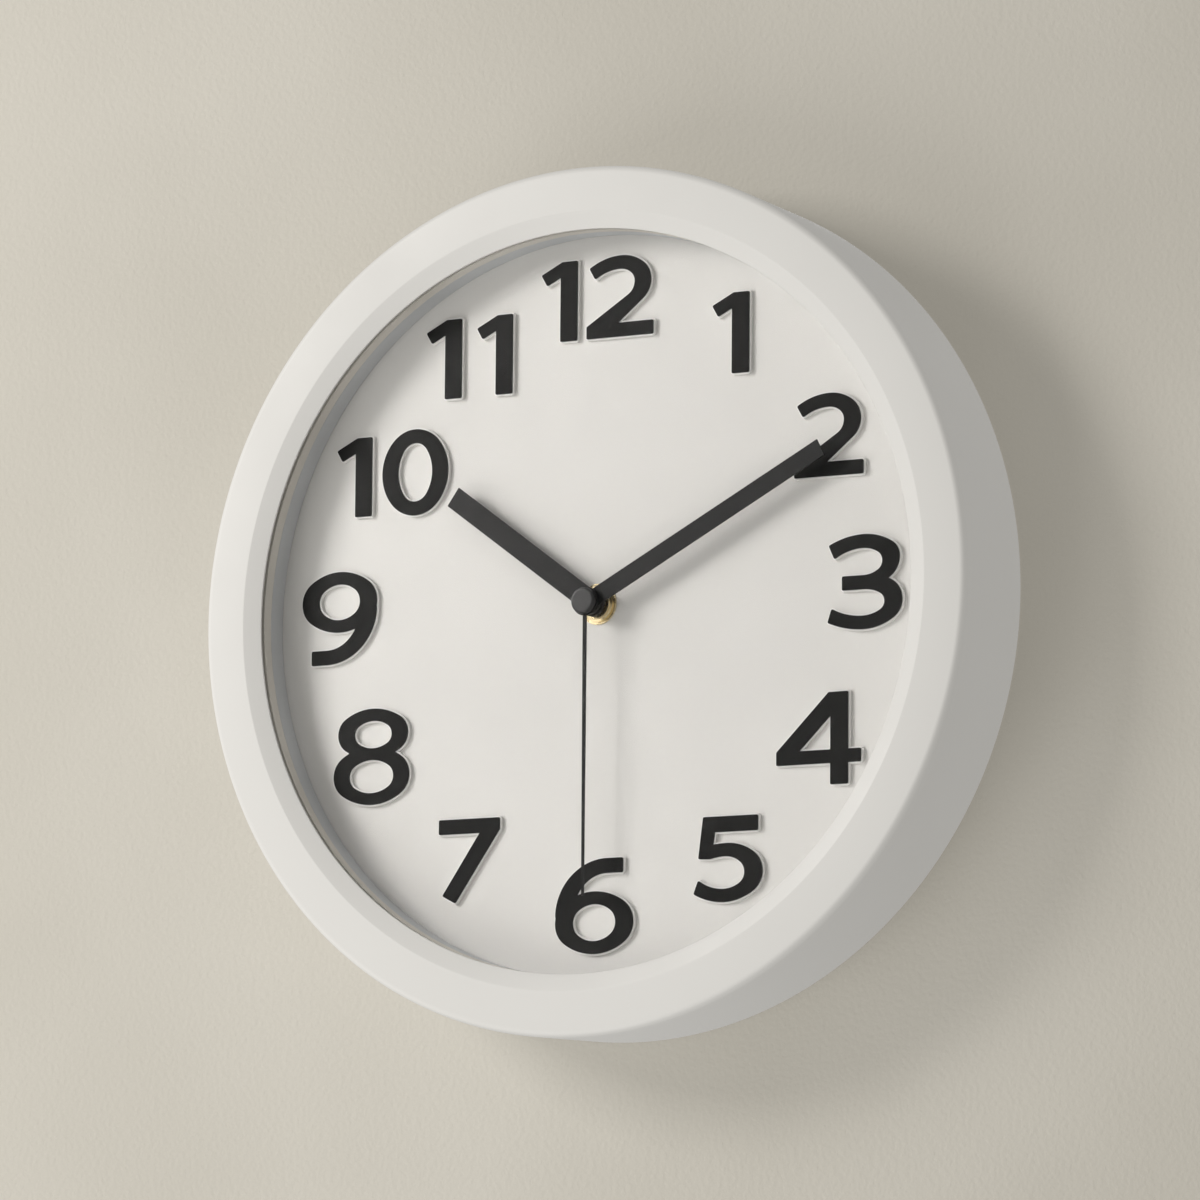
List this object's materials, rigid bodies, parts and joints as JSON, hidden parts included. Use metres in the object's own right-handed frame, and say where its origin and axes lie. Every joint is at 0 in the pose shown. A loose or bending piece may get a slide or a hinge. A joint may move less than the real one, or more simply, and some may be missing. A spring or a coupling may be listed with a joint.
{
  "type": "wall clock",
  "caption": "Round white wall clock with raised black numerals, blunt black hands, a deep rimmed case and a battery quartz movement behind the dial.",
  "frame": {"origin": "on the wall plane, where the axis of the hands meets it", "axes": "+Y into the wall, -Y towards the reader, +Z towards 12 o'clock, +X towards 3 o'clock"},
  "size_m": [0.2998, 0.043, 0.2998],
  "materials": {
    "case_white": "fine satin texture",
    "lens_clear": "clear, polished",
    "gasket_grey": "matte",
    "spacer_grey": "satin",
    "dial_white": "matte",
    "numeral_white": "satin",
    "numeral_black": "satin",
    "hand_black": "satin black coat",
    "cap_black": "satin",
    "brass": "turned",
    "washer_rubber": "matte",
    "hanger_steel": "zinc plated",
    "screw_steel": "zinc plated",
    "movement_black": "fine moulded texture",
    "gear_white": "moulded",
    "gear_red": "moulded",
    "knob_white": "moulded",
    "magnet": "sintered",
    "stator_steel": "stamped",
    "bobbin": "moulded",
    "copper": "enamelled wire",
    "board_green": "solder mask",
    "epoxy_black": "cast drop",
    "crystal_can": "polished can",
    "contact_nickel": "nickel plated",
    "cell_jacket": "gloss jacket"
  },
  "bodies": {
    "clock": {"case": "case_white", "lens": "lens_clear", "lens_gasket": "gasket_grey", "spacer_ring": "spacer_grey", "dial_plate": "dial_white", "hanger_plate": "hanger_steel", "case_screws": "screw_steel", "numeral_1": "numeral_white", "numeral_2": "numeral_white", "numeral_3": "numeral_white", "numeral_4": "numeral_white", "numeral_5": "numeral_white", "numeral_6": "numeral_white", "numeral_7": "numeral_white", "numeral_8": "numeral_white", "numeral_9": "numeral_white", "numeral_10": "numeral_white", "numeral_11": "numeral_white", "numeral_12": "numeral_white", "numeral_1_face": "numeral_black", "numeral_2_face": "numeral_black", "numeral_3_face": "numeral_black", "numeral_4_face": "numeral_black", "numeral_5_face": "numeral_black", "numeral_6_face": "numeral_black", "numeral_7_face": "numeral_black", "numeral_8_face": "numeral_black", "numeral_9_face": "numeral_black", "numeral_10_face": "numeral_black", "numeral_11_face": "numeral_black", "numeral_12_face": "numeral_black", "threaded_stem": "brass", "nut_washer": "brass", "stem_nut": "brass", "rubber_washer": "washer_rubber", "stator": "stator_steel", "coil_bobbin": "bobbin", "coil_winding": "copper", "circuit_board": "board_green", "chip_cover": "epoxy_black", "crystal": "crystal_can", "positive_contact": "contact_nickel", "negative_contact": "contact_nickel", "movement_case": "movement_black", "movement_cover": "movement_black"},
    "hour": {"hour_hand": "hand_black", "hour_wheel": "gear_white"},
    "minute": {"minute_hand": "hand_black", "minute_arbor": "gear_red"},
    "second": {"second_hand": "hand_black", "second_cap": "cap_black", "seconds_wheel": "gear_white"},
    "minute_drive": {"minute_drive_wheel": "gear_white"},
    "third": {"third_wheel": "gear_white"},
    "middle": {"middle_wheel": "gear_white"},
    "rotor": {"rotor": "magnet"},
    "motion_work": {"motion_wheel": "gear_white", "setting_knob": "knob_white"},
    "battery": {"battery": "cell_jacket"}
  },
  "joints": [
    {"name": "second_turn", "type": "hinge", "parent": "clock", "child": "second", "pos_m": [0, 0, 0], "axis": [0, 1, 0], "continuous": true},
    {"name": "minute_turn", "type": "hinge", "parent": "clock", "child": "minute", "pos_m": [0, 0, 0], "axis": [0, 1, 0], "continuous": true},
    {"name": "hour_turn", "type": "hinge", "parent": "clock", "child": "hour", "pos_m": [0, 0, 0], "axis": [0, 1, 0], "continuous": true},
    {"name": "motion_work_turn", "type": "hinge", "parent": "clock", "child": "motion_work", "pos_m": [-0.00831, 0, 0.0048], "axis": [0, 1, 0], "continuous": true},
    {"name": "minute_drive_turn", "type": "hinge", "parent": "clock", "child": "minute_drive", "pos_m": [0, 0, 0], "axis": [0, 1, 0], "continuous": true},
    {"name": "third_turn", "type": "hinge", "parent": "clock", "child": "third", "pos_m": [0.00863, 0, 0.00314], "axis": [0, 1, 0], "continuous": true},
    {"name": "middle_turn", "type": "hinge", "parent": "clock", "child": "middle", "pos_m": [-0.00078, 0, 0.00897], "axis": [0, 1, 0], "continuous": true},
    {"name": "rotor_turn", "type": "hinge", "parent": "clock", "child": "rotor", "pos_m": [0.00307, 0, 0.01563], "axis": [0, 1, 0], "continuous": true},
    {"name": "battery_slide", "type": "slide", "parent": "clock", "child": "battery", "axis": [0, 1, 0], "range_m": [0, 0.02]}
  ],
  "couplings": [
    {"joint": "hour_turn", "follows": "minute_turn", "ratio": 0.083333},
    {"joint": "motion_work_turn", "follows": "minute_turn", "ratio": -0.33333},
    {"joint": "middle_turn", "follows": "second_turn", "ratio": -5},
    {"joint": "rotor_turn", "follows": "second_turn", "ratio": 30},
    {"joint": "third_turn", "follows": "second_turn", "ratio": -0.13333},
    {"joint": "minute_drive_turn", "follows": "second_turn", "ratio": 0.016667}
  ]
}
